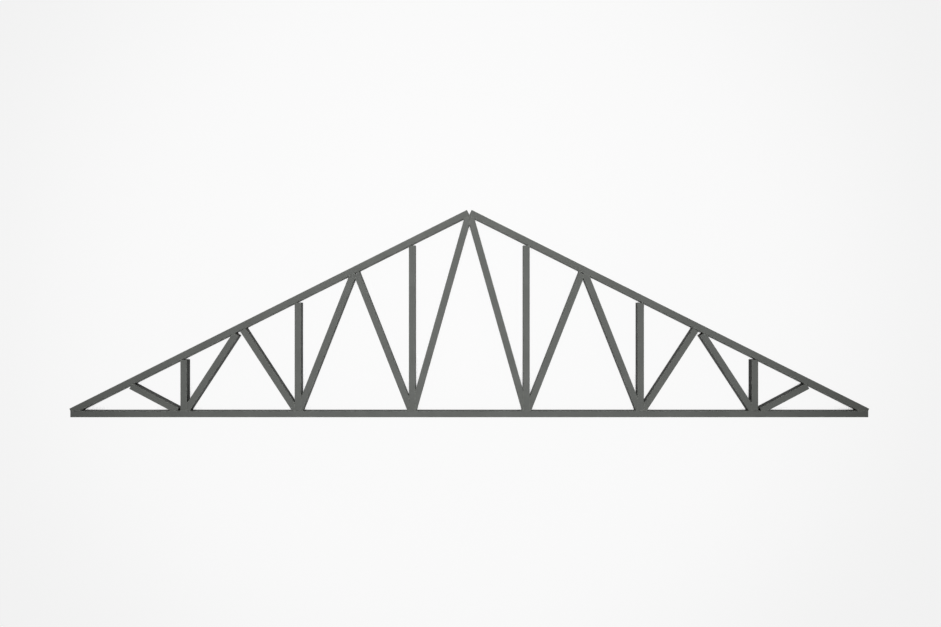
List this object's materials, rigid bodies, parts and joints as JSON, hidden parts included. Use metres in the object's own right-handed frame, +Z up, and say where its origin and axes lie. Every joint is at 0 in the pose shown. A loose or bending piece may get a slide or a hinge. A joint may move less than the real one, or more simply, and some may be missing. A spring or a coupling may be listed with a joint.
{
  "type": "steel roof truss",
  "caption": "Pitched roof truss of welded square steel tube, lying flat: straight bottom chord, two sloping top chords meeting at the ridge, upright posts and zigzag diagonals, painted grey.",
  "frame": {"origin": "on the floor under the middle of the truss's outline, as it lies flat on its back face", "axes": "+X along the span to the right in the picture, +Y from the bottom chord to the ridge, +Z up out of the front face that the picture shows"},
  "size_m": [12.0008, 3.113, 0.1],
  "materials": {
    "painted_steel": "smooth semi-gloss dark grey paint over steel"
  },
  "bodies": {
    "root": {"bottom_chord": "painted_steel", "top_chord_left": "painted_steel", "top_chord_right": "painted_steel", "post_1_left": "painted_steel", "post_1_right": "painted_steel", "post_2_left": "painted_steel", "post_2_right": "painted_steel", "post_3_left": "painted_steel", "post_3_right": "painted_steel", "diagonal_1_left": "painted_steel", "diagonal_1_right": "painted_steel", "diagonal_2_left": "painted_steel", "diagonal_2_right": "painted_steel", "diagonal_3_left": "painted_steel", "diagonal_3_right": "painted_steel", "diagonal_4_left": "painted_steel", "diagonal_4_right": "painted_steel", "diagonal_5_left": "painted_steel", "diagonal_5_right": "painted_steel", "diagonal_6_left": "painted_steel", "diagonal_6_right": "painted_steel"}
  },
  "joints": []
}
